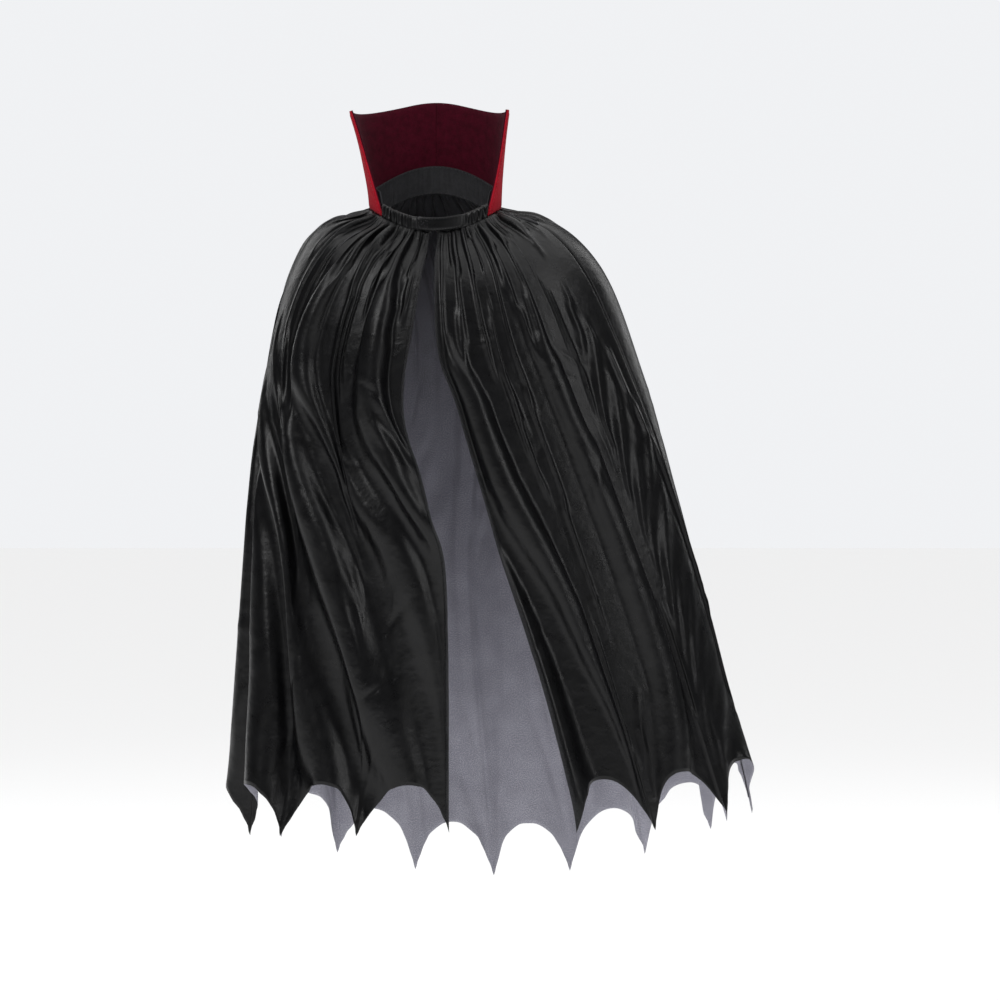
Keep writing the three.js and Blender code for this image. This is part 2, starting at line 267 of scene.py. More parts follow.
class Cloth:
    """The whole cape as one sheet: columns from the left free edge round the back, and rows to the hem."""

    def __init__(self):
        step = np.arange(COLUMNS_PER_SCALLOP) / COLUMNS_PER_SCALLOP
        closer_at_tips = 0.5 * step + 0.25 * (1 - np.cos(np.pi * step))
        self.u = np.r_[(np.arange(SCALLOPS)[:, None] + closer_at_tips).ravel() / SCALLOPS, 1]
        lift = scallop_rise(np.r_[np.tile(closer_at_tips, SCALLOPS), 0])
        rows = np.linspace(0, 1, ROWS + 1)
        closer_at_neck = 0.55 * rows + 0.45 * rows**1.9
        length = FRONT_LENGTH + (BACK_LENGTH - FRONT_LENGTH) * np.sin(np.pi * self.u) ** 2
        self.reach = closer_at_neck * (1 - (lift / length)[:, None])
        parts, rings, ring_lengths = even_rings()
        self.base = look_up(rings, self.u[:, None] + 0 * self.reach, self.reach)
        self.normal = grid_normals(self.base)
        down = np.linalg.norm(np.diff(self.base, axis=1), axis=2)
        self.depth = np.c_[np.zeros(len(self.u)), np.cumsum(down, 1)]
        height = self.fold_height()
        self.start = self.base + self.normal * height[..., None]
        ring = np.interp(self.reach, parts, ring_lengths)
        self.flat = np.stack([self.laid_flat(height, ring), self.depth], -1)

    def fold_height(self):
        """How far the cloth stands out from the smooth shape, in gathers that run into broad folds."""
        generator = np.random.default_rng(3)
        wander = 0.006 * np.sin(2 * np.pi * (1.2 * self.reach + 2.3 * self.u[:, None])) * self.reach
        right = smooth(self.u, 0.5, 0.85)
        shares = [1 + 0 * right, 0.8 + 0.6 * right, 0.8 + 0.3 * right]
        height = 0
        for (count, stops), share in zip(FOLDS, shares):
            wave = uneven_wave(self.u[:, None] + wander, count, FOLD_DRIFT, generator)
            height = height + wave * share[:, None] * ramp(self.reach, *stops)
        return height

    def laid_flat(self, height, ring):
        """The sideways place of each point on the cut cloth, which is a little wider than its folds need."""
        slack = ramp(self.reach, (0, .03), (.1, .05), (.4, .04), (1, .02))[1:]
        smooth_step = np.diff(self.u)[:, None] * ring[1:]
        across = np.hypot(smooth_step, np.diff(height, axis=0)) * (1 + slack)
        place = np.vstack([np.zeros(across.shape[1]), np.cumsum(across, 0)])
        return place - place[-1] / 2

    def link_lengths(self, step, first, second):
        """On the flat cloth, from some rows of each column to some rows of the column a step further on."""
        apart = self.flat[step:, :, 0] - self.flat[:-step, :, 0]
        across = (apart[:, first] + apart[:, second]) / 2
        return np.hypot(across, self.depth[step:, second] - self.depth[:-step, first]).astype(np.float32)

    def links(self):
        """Batches of (first points, second points, rest lengths, stiffness, share of it when pushed)."""
        columns, rows = self.reach.shape
        whole, upper, lower = slice(None), slice(0, rows - 1), slice(1, rows)
        same = np.ones(self.reach.shape, np.float32)
        wide_bend = (0.06 * smooth(self.reach, 0.03, 0.2)).astype(np.float32)
        sideways = [
            (5, whole, whole, wide_bend, 1),
            (2, whole, whole, 0.12 * same, 1),
            (1, upper, lower, 0.35 * same[:, 1:], 1),
            (1, lower, upper, 0.35 * same[:, 1:], 1),
            (1, whole, whole, same, 0.9),
        ]
        batches = []
        for step, first, second, stiffness, push in sideways:
            rest = self.link_lengths(step, first, second)
            for one, two in paired(columns, step):
                batches.append(((one, first), (two, second), rest[one], stiffness[one], push))
        for step, stiffness, push in [(2, 0.18, 0.6), (1, 1, 1)]:
            rest = (self.depth[:, step:] - self.depth[:, :-step]).astype(np.float32)
            for one, two in paired(rows, step):
                batches.append(((whole, one), (whole, two), rest[:, one], stiffness, push))
        return batches

    def hang(self, steps, passes=8, gravity=3.4, pace=0.02, drag=0.93, top_speed=1.5):
        """Lets the sheet hang from its gathered neckline over the wearer's shoulders until it is still."""
        points = self.start.astype(np.float32)
        pinned = points[:, 0].copy()
        normal = self.normal.astype(np.float32)
        base = self.base.astype(np.float32)
        room = ramp(self.reach, (0, .004), (.1, .004), (.25, .006), (.5, .010), (1, .013))
        floor = (base * normal).sum(-1) - room.astype(np.float32)
        depth = self.depth.astype(np.float32)
        # Each point is drawn sideways to its own place on the smooth shape, and the free edges most
        at_free_edge = np.exp(-np.minimum(self.u, 1 - self.u) / 0.012)
        homing = (0.06 + 0.18 * at_free_edge)[:, None, None].astype(np.float32)
        free = np.ones(points.shape[:2] + (1,), np.float32)
        free[:, 0] = 0
        speed = np.zeros_like(points)
        batches = self.links()
        round_way = unit(np.cross([0, 0, 1], normal)).astype(np.float32)
        least = self.link_lengths(1, slice(None), slice(None)) * 0.25
        for _ in range(steps):
            speed *= drag
            speed[..., 2] -= gravity * pace
            before = points.copy()
            points += speed * pace
            away = base - points
            away -= (away * normal).sum(-1, keepdims=True) * normal
            points += away * homing
            for _ in range(passes):
                for batch in batches:
                    satisfy(points, free, *batch)
                limit_drop(points, depth)
                keep_order(points, round_way, least)
                points += np.maximum(floor - (points * normal).sum(-1), 0)[..., None] * normal
                points[:, 0] = pinned
            speed = (points - before) / pace
            size = np.linalg.norm(speed, axis=2, keepdims=True)
            speed *= np.minimum(1, top_speed / np.maximum(size, 1e-9))
        return points.astype(float)


def satisfy(points, free, first, second, rest, stiffness, push):
    """Moves both ends of a batch of links towards their rest lengths."""
    gap = points[second] - points[first]
    size = np.sqrt(np.einsum("ijk,ijk->ij", gap, gap))
    error = size - rest
    error = np.where(error < 0, error * push, error)
    share = np.maximum(free[first] + free[second], 1)
    move = (stiffness * error / np.maximum(size, 1e-7))[..., None] / share * gap
    points[first] += free[first] * move
    points[second] -= free[second] * move


def keep_order(points, round_way, least):
    """Each column stays a little further round than the one before, so no fold turns over on another."""
    for one, two in paired(len(points), 1):
        way = round_way[one]
        gap = ((points[two] - points[one]) * way).sum(-1)
        move = (np.maximum(least[one] - gap, 0) / 2)[..., None] * way
        points[one] -= move
        points[two] += move


def limit_drop(points, depth, reaches=(4, 12, 36), share=0.3):
    """No point hangs further below another of its column than the cloth between them allows."""
    for rows in reaches:
        gap = points[:, rows:] - points[:, :-rows]
        size = np.sqrt(np.einsum("ijk,ijk->ij", gap, gap))
        over = np.maximum(1 - (depth[:, rows:] - depth[:, :-rows]) / np.maximum(size, 1e-9), 0)
        move = over[..., None] * gap * share
        points[:, rows:] -= move
        points[:, :-rows] += move * 0.5


def doubled(grid, axis):
    """The grid with a smooth extra point between each two along one axis."""
    g = np.moveaxis(grid, axis, 0)
    padded = np.concatenate([2 * g[:1] - g[1:2], g, 2 * g[-1:] - g[-2:-1]])
    out = np.empty((2 * len(g) - 1,) + g.shape[1:])
    out[::2] = g
    out[1::2] = (9 * (padded[1:-2] + padded[2:-1]) - padded[:-3] - padded[3:]) / 16
    return np.moveaxis(out, 0, axis)


def finer(grid):
    return doubled(doubled(grid, 0), 1)


def packet_creases(x, y):
    """Height of the creases from the packet at places on the cut cloth."""
    height = np.zeros(x.shape)
    for line in CREASES_ACROSS:
        wander = 0.002 * np.sin(x * 9 + line * 40)
        strength = 0.5 + 0.5 * np.sin(x * 13 + line * 70)
        height += 0.0008 * strength * np.exp(-np.abs(y - line - wander) / 0.0045)
    for line in CREASES_DOWN:
        strength = np.clip(0.3 + np.sin(y * 11 + line * 50), 0, 1)
        height -= 0.0009 * strength * np.exp(-np.abs(x - line) / 0.004)
    return height


def crinkle_places(generator):
    """Where the cloth is crinkled, and how much: all over, at the left free edge and near the neck."""
    scattered = np.c_[generator.uniform(-0.65, 0.65, 70), generator.uniform(0.1, 0.52, 70)]
    crumpled = np.c_[generator.normal(-0.57, 0.03, 30), generator.normal(0.25, 0.04, 30)]
    upper = np.c_[generator.uniform(-0.6, 0.6, 90), generator.uniform(0.05, 0.28, 90)]
    sizes = np.repeat([1.0, 1.0, 0.6], [len(scattered), len(crumpled), len(upper)])
    return zip(np.vstack([scattered, crumpled, upper]), sizes)


def crinkle(x, y, size, generator):
    """Height of one short ridge or valley, turned at random, at places beside its middle."""
    turn = generator.uniform(0, np.pi)
    along = x * math.cos(turn) + y * math.sin(turn)
    beside = y * math.cos(turn) - x * math.sin(turn)
    reach = size * generator.uniform(0.010, 0.030)
    rise = size * generator.uniform(-0.0013, 0.0016)
    return rise * np.exp(-((along / reach) ** 2) - np.abs(beside) / (0.0035 * size))


def crease_height(x, y, generator):
    """Height of all creases and crinkles at places on the cut cloth; they die away at the neckline."""
    height = packet_creases(x, y)
    for (middle_x, middle_y), size in crinkle_places(generator):
        height += crinkle(x - middle_x, y - middle_y, size, generator)
    return height * smooth(y, 0.03, 0.09)


def without_ripples(points, times=3):
    """The grid with the shortest waves down its columns smoothed out; its first and last rows stay."""
    points = points.copy()
    for _ in range(times):
        points[:, 1:-1] = (points[:, :-2] + 2 * points[:, 1:-1] + points[:, 2:]) / 4
    return points


def finished_cloth():
    """The hanging cape at twice the detail, creased and sunk along its side seams, and its flat pattern."""
    cloth = Cloth()
    points, flat = finer(without_ripples(cloth.hang(STEPS))), finer(cloth.flat)
    height = crease_height(flat[..., 0], flat[..., 1], np.random.default_rng(11))
    for seam in seam_columns():
        beside = np.linalg.norm(flat - flat[seam:seam + 1], axis=2)
        height -= SEAM_DIP["depth"] * np.exp(-(beside / SEAM_DIP["reach"]) ** 2)
    return points + grid_normals(points) * height[..., None], flat


def seam_columns():
    """The columns of the finished cloth at the two side seams."""
    per_scallop = 2 * COLUMNS_PER_SCALLOP
    return FRONT_SCALLOPS * per_scallop, (SCALLOPS - FRONT_SCALLOPS) * per_scallop


# Meshes

def new_mesh(name, vertices, faces, materials, kinds=None, flat=None, flat_shaded=()):
    """A mesh of quads. kinds is each face's material, and flat each point's place on the cut cloth."""
    faces = np.asarray(faces, np.int32)
    kinds = np.zeros(len(faces), np.int32) if kinds is None else np.asarray(kinds, np.int32)
    mesh = bpy.data.meshes.new(name)
    mesh.vertices.add(len(vertices))
    mesh.vertices.foreach_set("co", np.asarray(vertices, np.float32).ravel())
    mesh.loops.add(faces.size)
    mesh.loops.foreach_set("vertex_index", faces.ravel())
    mesh.polygons.add(len(faces))
    mesh.polygons.foreach_set("loop_start", np.arange(0, faces.size, 4, dtype=np.int32))
    for material in materials:
        mesh.materials.append(material)
    mesh.polygons.foreach_set("material_index", kinds)
    mesh.polygons.foreach_set("use_smooth", ~np.isin(kinds, flat_shaded))
    if flat is not None:
        places = mesh.uv_layers.new(name="flat")
        places.data.foreach_set("uv", np.asarray(flat, np.float32)[faces.ravel()].ravel())
    mesh.update(calc_edges=True)
    thing = bpy.data.objects.new(name, mesh)
    bpy.context.scene.collection.objects.link(thing)
    return thing


def quads(a, b, c, d):
    return np.stack([a, b, c, d], -1).reshape(-1, 4)


def thick_sheet(name, outer, inner, looks, flat=None):
    """A closed sheet between two grids of points, with its outer, inner and edge materials."""
    columns, rows = outer.shape[:2]
    top = np.arange(columns * rows).reshape(columns, rows)
    low = top + columns * rows
    faces = [
        quads(top[:-1, :-1], top[:-1, 1:], top[1:, 1:], top[1:, :-1]),
        quads(low[:-1, :-1], low[1:, :-1], low[1:, 1:], low[:-1, 1:]),
        quads(top[:-1, 0], top[1:, 0], low[1:, 0], low[:-1, 0]),
        quads(top[1:, -1], top[:-1, -1], low[:-1, -1], low[1:, -1]),
        quads(top[0, 1:], top[0, :-1], low[0, :-1], low[0, 1:]),
        quads(top[-1, :-1], top[-1, 1:], low[-1, 1:], low[-1, :-1]),
    ]
    kinds = np.repeat([0, 1, 2, 2, 2, 2], [len(f) for f in faces])
    if flat is not None:
        flat = np.vstack([flat.reshape(-1, 2)] * 2)
    vertices = np.vstack([outer.reshape(-1, 3), inner.reshape(-1, 3)])
    return new_mesh(name, vertices, np.vstack(faces), looks, kinds, flat, flat_shaded=(2,))


def layer(name, grid, start, end, looks, flat=None):
    """A closed sheet between two depths under a grid."""
    normal = grid_normals(grid)
    return thick_sheet(name, grid - normal * start, grid - normal * end, looks, flat)


def grid_flat(grid):
    """The place of each point of a nearly flat grid on its cut piece."""
    across = np.cumsum(np.r_[0, np.linalg.norm(np.diff(grid, axis=0), axis=2).mean(1)])
    down = np.cumsum(np.r_[0, np.linalg.norm(np.diff(grid, axis=1), axis=2).mean(0)])
    return np.stack(np.meshgrid(across, down, indexing="ij"), -1)


def threads(name, paths, radius=THREAD, look="black_thread"):
    """Closed six-sided threads along paths, as one piece."""
    sides = 6
    turn = np.arange(sides) * 2 * np.pi / sides
    vertices, faces, count = [], [], 0
    for path in paths:
        along = unit(np.gradient(path, axis=0))
        side = carried_side(along)
        up = np.cross(side, along)
        blunt_ends = np.sqrt(1.05 - np.linspace(-1, 1, len(path)) ** 12)
        size = radius * blunt_ends[:, None, None]
        circle = side[:, None] * np.cos(turn)[:, None] + up[:, None] * np.sin(turn)[:, None]
        rings = path[:, None] + size * circle
        index = count + np.arange(rings.shape[0] * sides).reshape(-1, sides)
        after = np.roll(index, -1, axis=1)
        faces.append(quads(index[:-1], index[1:], after[1:], after[:-1]))
        for ring in (index[0], index[-1, ::-1]):
            faces.append([[ring[0], ring[1], ring[2], ring[3]], [ring[0], ring[3], ring[4], ring[5]]])
        vertices.append(rings.reshape(-1, 3))
        count += index.size
    piece = new_mesh(name, np.vstack(vertices), np.vstack(faces), [LOOKS[look]])
    return piece


def carried_side(along):
    """A sideways direction at each point of a path, carried along it without twisting."""
    side = np.zeros_like(along)
    current = np.array([0.0, 0.0, 1.0]) if abs(along[0, 2]) < 0.9 else np.array([1.0, 0.0, 0.0])
    for k, way in enumerate(along):
        current = current - current.dot(way) * way
        current = current / max(math.sqrt(current.dot(current)), 1e-9)
        side[k] = current
    return side


def sampled(line, along, places):
    """The points or ways of a line at distances along it."""
    return np.stack([np.interp(places, along, line[:, k]) for k in range(3)], -1)


def running_stitches(path, lift, length=0.0026, gap=0.0012, thread=0.00022):
    """The paths of stitches along a line on a surface; lift is the way out of the surface at each point."""
    along = lengths_along(path)
    rise = thread * np.array([-1.2, 0.5, 0.9, 0.5, -1.2])
    paths = []
    for start in np.arange(gap, along[-1] - length, length + gap):
        places = start + length * np.linspace(0, 1, 5)
        paths.append(sampled(path, along, places) + sampled(lift, along, places) * rise[:, None])
    return paths


# Materials

def add_node(tree, kind, inputs=(), **settings):
    """A shader node; inputs holds (socket, value or output) pairs."""
    node = tree.nodes.new("ShaderNode" + kind)
    for key, value in settings.items():
        setattr(node, key, value)
    for key, value in inputs:
        if isinstance(value, bpy.types.NodeSocket):
            tree.links.new(value, node.inputs[key])
        else:
            node.inputs[key].default_value = value
    return node


def new_look(name, **constants):
    """A material whose shader has some constant settings."""
    look = bpy.data.materials.new(name)
    look.use_nodes = True
    shader = look.node_tree.nodes["Principled BSDF"]
    for key, value in constants.items():
        shader.inputs[key.replace("_", " ")].default_value = value
    return look


def cloth_place(look):
    return add_node(look.node_tree, "UVMap", uv_map="flat").outputs["UV"]


def solid_place(look):
    return add_node(look.node_tree, "TexCoord").outputs["Object"]


def shaded(look, color, roughness=None, normal=None):
    """The material with outputs linked to its base colour, roughness and normal."""
    shader = look.node_tree.nodes["Principled BSDF"]
    for key, output in [("Base Color", color), ("Roughness", roughness), ("Normal", normal)]:
        if output is not None:
            look.node_tree.links.new(output, shader.inputs[key])
    return look


def noise(place, scale, detail=3, roughness=0.6):
    """Cloudy values about 0.5, in patches of 1 / scale metres."""
    inputs = [("Vector", place), ("Scale", scale), ("Detail", detail), ("Roughness", roughness)]
    return add_node(place.id_data, "TexNoise", inputs).outputs["Fac"]


def threads_at(place, pitch, direction):
    """The rounded tops of parallel threads of a weave."""
    inputs = [("Vector", place), ("Scale", math.pi / 10 / pitch), ("Distortion", 0.4), ("Detail Scale", 2)]
    node = add_node(place.id_data, "TexWave", inputs, wave_type="BANDS", bands_direction=direction)
    return node.outputs["Fac"]


def spread(value, low, high, start=0.3, end=0.7):
    """A texture's middle range stretched to run from low to high."""
    inputs = [("Value", value), ("From Min", start), ("From Max", end), ("To Min", low), ("To Max", high)]
    return add_node(value.id_data, "MapRange", inputs).outputs["Result"]


def color_between(value, *stops):
    """A colour ramp through (place, (red, green, blue)) stops."""
    node = add_node(value.id_data, "ValToRGB", [("Fac", value)])
    elements = node.color_ramp.elements
    while len(elements) < len(stops):
        elements.new(0.5)
    for element, (place, color) in zip(elements, stops):
        element.position = place
        element.color = (*color, 1)
    return node.outputs["Color"]


def bump(height, distance, strength=1.0, under=None):
    inputs = [("Height", height), ("Distance", distance), ("Strength", strength)]
    if under is not None:
        inputs.append(("Normal", under))
    return add_node(height.id_data, "Bump", inputs).outputs["Normal"]


def blend_values(a, b, part):
    inputs = [("Factor", part), ("A", a), ("B", b)]
    return add_node(a.id_data, "Mix", inputs, data_type="FLOAT").outputs["Result"]


def satin_outside():
    """Thin black satin: long floats of thread that shine, fine wrinkles, and soft change of gloss."""
    look = new_look("black_satin", Specular_IOR_Level=0.25, Anisotropic=0.35)
    place = cloth_place(look)
    color = color_between(noise(place, 22, 4),
                          (0.3, (0.0009, 0.0009, 0.0011)), (0.7, (0.0024, 0.0024, 0.0029)))
    gloss = blend_values(noise(place, 55, 4), noise(place, 900, 2), 0.35)
    floats, ties = threads_at(place, 0.00045, "X"), threads_at(place, 0.0009, "Y")
    fine = bump(blend_values(floats, ties, 0.3), 0.00003, 0.6)
    wrinkles = bump(noise(place, 210, 3, 0.55), 0.0007, 0.25, fine)
    waves = bump(noise(place, 60, 2, 0.5), 0.002, 0.3, wrinkles)
    return shaded(look, color, spread(gloss, 0.24, 0.38), waves)


def satin_inside():
    """The dull back of the satin: grey with a salt-and-pepper speckle, made paler as painted light for light
    shining through the thin cloth, and darkened with painted shade up among the gathers.
    """
    look = new_look("satin_reverse", Specular_IOR_Level=0.3, Sheen_Weight=0.1, Sheen_Roughness=0.6)
    place = cloth_place(look)
    speckle = blend_values(noise(place, 1050, 2, 0.8), noise(place, 40, 4), 0.15)
    # The speckled grey is partly the reverse's own dull tone and partly painted light: it is raised paler to
    # stand for light shining through the thin satin.
    color = color_between(speckle, (0.36, (0.17, 0.17, 0.20)), (0.5, (0.29, 0.287, 0.335)),
                          (0.64, (0.50, 0.49, 0.56)))
    # Painted shade: the colour is scaled darker towards the neckline, standing for the shade among the
    # crowded gathers under the shoulders.
    down = add_node(look.node_tree, "SeparateXYZ", [("Vector", place)]).outputs["Y"]
    inputs = [(0, color), ("Scale", spread(down, 0.06, 1, 0.04, 0.26))]
    painted_shade_at_neck = add_node(look.node_tree, "VectorMath", inputs, operation="SCALE").outputs["Vector"]
    roughness = spread(noise(place, 160), 0.66, 0.86)
    twill = blend_values(threads_at(place, 0.0008, "DIAGONAL"), noise(place, 1300, 2), 0.5)
    return shaded(look, painted_shade_at_neck, roughness, bump(twill, 0.00012, 0.7))


def cut_edge():
    """The raw edge of the satin, paler where its threads end."""
    look = new_look("satin_edge", Roughness=0.75)
    frayed = noise(solid_place(look), 1500, 2)
    return shaded(look, color_between(frayed, (0.4, (0.02, 0.02, 0.023)), (0.62, (0.10, 0.10, 0.11))))


def felt(name, dark, light):
    """Pressed fibre with a slight nap."""
    look = new_look(name, Specular_IOR_Level=0.05, Sheen_Weight=0.02, Sheen_Roughness=0.5)
    place = cloth_place(look)
    fibres = blend_values(noise(place, 1100, 3, 0.7), noise(place, 130, 4), 0.4)
    color = color_between(fibres, (0.34, dark), (0.66, light))
    nap = bump(noise(place, 1900, 3, 0.75), 0.0003, 0.6)
    dents = bump(noise(place, 45, 2), 0.0012, 0.35, nap)
    return shaded(look, color, spread(noise(place, 300), 0.72, 0.92), dents)


def woven(name, dark, light, pitch, roughness=(0.6, 0.8)):
    """Plain woven tape, with threads that cross at a pitch; its colour carries painted shade, darker between
    the threads and lighter on their tops, over an uneven mottled tone.
    """
    look = new_look(name, Specular_IOR_Level=0.35)
    place = cloth_place(look)
    weave = blend_values(threads_at(place, pitch, "X"), threads_at(place, pitch, "Y"), 0.5)
    # Painted shade: the colour follows the weave, darker between the threads and lighter on their tops; the
    # noise adds the tape's own uneven tone.
    weave_shade_and_mottling = blend_values(weave, noise(place, 140, 4), 0.6)
    color = color_between(weave_shade_and_mottling, (0.3, dark), (0.7, light))
    return shaded(look, color, spread(noise(place, 400), *roughness), bump(weave, pitch * 0.4, 0.7))


def twisted_thread(name, dark, light):
    """Sewing thread, with the twist of its plies."""
    look = new_look(name, Specular_IOR_Level=0.45)
    place = solid_place(look)
    color = color_between(noise(place, 700, 2), (0.35, dark), (0.65, light))
    plies = bump(threads_at(place, 0.0006, "DIAGONAL"), 0.0001, 0.6)
    return shaded(look, color, spread(noise(place, 260), 0.45, 0.65), plies)


def fastener(name, pitch, depth):
    """One face of hook-and-loop tape: a field of small tufts or hooks, with painted shade darkening the gaps
    between them.
    """
    look = new_look(name, Specular_IOR_Level=0.4)
    place = cloth_place(look)
    inputs = [("Vector", place), ("Scale", 1 / pitch), ("Randomness", 0.45)]
    tufts = add_node(look.node_tree, "TexVoronoi", inputs).outputs["Distance"]
    # Painted shade: the colour follows the tufts' height, lighter on their tops and dark in the gaps between
    # them.
    color = color_between(tufts, (0.1, (0.035, 0.035, 0.038)), (0.6, (0.006, 0.006, 0.007)))
    raised = bump(spread(tufts, 1, 0, 0, 0.6), depth, 0.9)
    return shaded(look, color, spread(noise(place, 500), 0.5, 0.75), raised)


LOOKS = {
    "satin": satin_outside(),
    "reverse": satin_inside(),
    "edge": cut_edge(),
    "red_felt": felt("red_felt", (0.20, 0.004, 0.010), (0.34, 0.009, 0.020)),
    # Painted shade: the lining is a deep red felt painted about ten times darker than the outer felt,
    # standing for the shadow inside the collar.
    "lining_felt_painted_shade": felt("lining_felt_painted_shade", (0.018, 0.0007, 0.003), (0.056, 0.0020, 0.0095)),
    "interlining": woven("white_interlining", (0.55, 0.55, 0.54), (0.75, 0.75, 0.73), 0.0006),
    "black_tape": woven("black_tape", (0.004, 0.004, 0.005), (0.020, 0.020, 0.023), 0.0007),
    "label": woven("white_label", (0.66, 0.66, 0.64), (0.80, 0.80, 0.78), 0.0003, (0.35, 0.5)),
    "black_thread": twisted_thread("black_thread", (0.008, 0.008, 0.009), (0.032, 0.032, 0.036)),
    "red_thread": twisted_thread("red_thread", (0.20, 0.006, 0.012), (0.38, 0.016, 0.026)),
    "hooks": fastener("hook_tape", 0.0012, 0.0004),
    "loops": fastener("loop_tape", 0.0007, 0.0003),
}
SATIN_LOOKS = [LOOKS["satin"], LOOKS["reverse"], LOOKS["edge"]]


# Pieces of the cape

def finish_piece(piece, slot, body, *nodes):
    """Rides a piece on its body and lets it stand for its CAD nodes."""
    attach(piece, body)
    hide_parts(*nodes)


def facing_out(grid, side):
    """A grid of the right side in the order that grid_normals needs, and one of the left as it is."""
    return grid if side == "left" else grid[::-1]


def front_fold(side):
    """The line about which a front folds back, and the way across it to the free corner of the hem."""
    start_angle = angle_at(free_edge[side](FOLD_START), FOLD_START)
    top = drape(start_angle, FOLD_START)
    tip = drape(FOLD_END[side], 1.0)
    corner = drape(angle_at(free_edge[side](1.0), 1.0), 1.0)
    return top, across_line(top, tip, corner)


def across_line(start, end, beside):
    """The unit way from a line, square to it, towards a point beside it."""
    along = unit(end - start)
    return unit((beside - start) - np.dot(beside - start, along) * along)


def bend_front(piece, side):
    """Bakes the transform of a piece on a front into its mesh; the line where the front folds back is worked
    out but not used.
    """
    point, way = front_fold(side)
    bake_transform(piece)


def declare_panel(flat):
    """Works out the diagonals and the size of a panel of satin as cut; the results are not used."""
    corners = [flat[:-1, :-1], flat[:-1, 1:], flat[1:, 1:], flat[1:, :-1]]
    diagonals = corners[2] - corners[0], corners[3] - corners[1]
    (ax, ay), (bx, by) = [np.moveaxis(diagonal, -1, 0) for diagonal in diagonals]
    width, length = (flat[-1, :, 0] - flat[0, :, 0]).max(), np.ptp(flat[..., 1])


def add_panels(points, flat):
    """The back and the two fronts, thinner up in the gathers, where their folds are tight."""
    left_seam, right_seam = seam_columns()
    spans = {
        "left_front_satin": slice(0, left_seam + 1),
        "back_satin": slice(left_seam, right_seam + 1),
        "right_front_satin": slice(right_seam, None),
    }
    thickness = CLOTH_THICKNESS * (0.3 + 0.7 * smooth(flat[..., 1], 0.05, 0.15))
    inner = points - grid_normals(points) * thickness[..., None]
    for name, span in spans.items():
        piece = thick_sheet(name, points[span], inner[span], SATIN_LOOKS, flat[span])
        declare_panel(flat[span])
        if name == "back_satin":
            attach(piece, "cape")
            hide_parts("back_panel")
        else:
            side = name.split("_")[0]
            bend_front(piece, side)
            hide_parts(f"{side}_front_panel", f"{side}_front_flap")


class Surface:
    """The finished cloth, to lay smaller pieces on."""

    def __init__(self, points, flat):
        self.points, self.flat = points, flat
        self.normals = grid_normals(points)

    def at(self, column, row, sideways=0.0):
        """Points and normals at a column and rows, moved a distance sideways on the flat cloth."""
        columns, rows = self.points.shape[:2]
        near = int(np.clip(column, 1, columns - 2))
        step = (self.flat[near + 1, :, 0] - self.flat[near - 1, :, 0]) / 2
        step = np.interp(row, np.arange(rows), step)
        across = (column + sideways / step) / (columns - 1)
        down = np.asarray(row) / (rows - 1)
        return look_up(self.points, across, down), unit(look_up(self.normals, across, down))

    def rows_every(self, column, pitch):
        """Row places that are a pitch apart along a column."""
        along = lengths_along(self.points[column])
        return np.interp(np.arange(0, along[-1], pitch), along, np.arange(len(along)))


def overlock_path(surface, column, inwards, pitch=0.0021, width=0.0032):
    """Thread that loops over an edge of the cloth: in on the face, over the edge and in on the back."""
    rows = surface.rows_every(column, pitch)
    lift, past_edge, middle = 0.00022, -0.00035, -CLOTH_THICKNESS / 2
    under = -(CLOTH_THICKNESS + lift)
    steps = [
        (0.0, width, lift), (0.18, width * 0.45, lift * 1.5), (0.36, 0.0, lift), (0.42, past_edge, middle),
        (0.5, 0.0, under), (0.68, width * 0.5, under), (0.78, width * 0.5, under), (0.9, 0.0, under),
        (0.95, past_edge, middle), (0.98, 0.0, lift),
    ]
    path = []
    pitch_in_rows = np.gradient(rows)
    for part, distance, height in steps:
        points, normals = surface.at(column, rows + part * pitch_in_rows, inwards * distance)
        path.append(points + normals * height)
    return np.stack(path, 1).reshape(-1, 3)


def add_edge_threads(surface):
    """The overlocked free edges of the two fronts."""
    last = surface.points.shape[0] - 1
    for side, column, inwards in [("left", 0, 1), ("right", last, -1)]:
        piece = threads(f"{side}_edge_overlock", [overlock_path(surface, column, inwards)])
        bend_front(piece, side)
        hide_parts(f"{side}_upper_edge_overlock", f"{side}_flap_edge_overlock")


def add_side_seams(surface):
    """The seam allowance inside each side, pressed to the back and overlocked."""
    for side, column in zip(("left", "right"), seam_columns()):
        rows = np.arange(6, surface.points.shape[1] - 3)  # clear of the neckline and the hem
        offsets = np.linspace(-PRESSED_SEAM, SEAM_ALLOWANCE, 7)
        laid = [surface.at(column, rows, SIGN[side] * offset) for offset in offsets]
        grid = np.stack([points - normals * (CLOTH_THICKNESS + 0.0004) for points, normals in laid])
        grid = facing_out(grid, side)
        piece = layer(f"{side}_seam_allowance", grid, 0, PRESSED_SEAM, SATIN_LOOKS, grid_flat(grid))
        finish_piece(piece, "satin", "cape", f"{side}_side_seam")
        free, beside = (-1, -2) if side == "left" else (0, 1)
        loops = edge_loops(grid[free], grid[beside], grid_normals(grid)[free], PRESSED_SEAM)
        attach(threads(f"{side}_seam_overlock", [loops]), "cape")


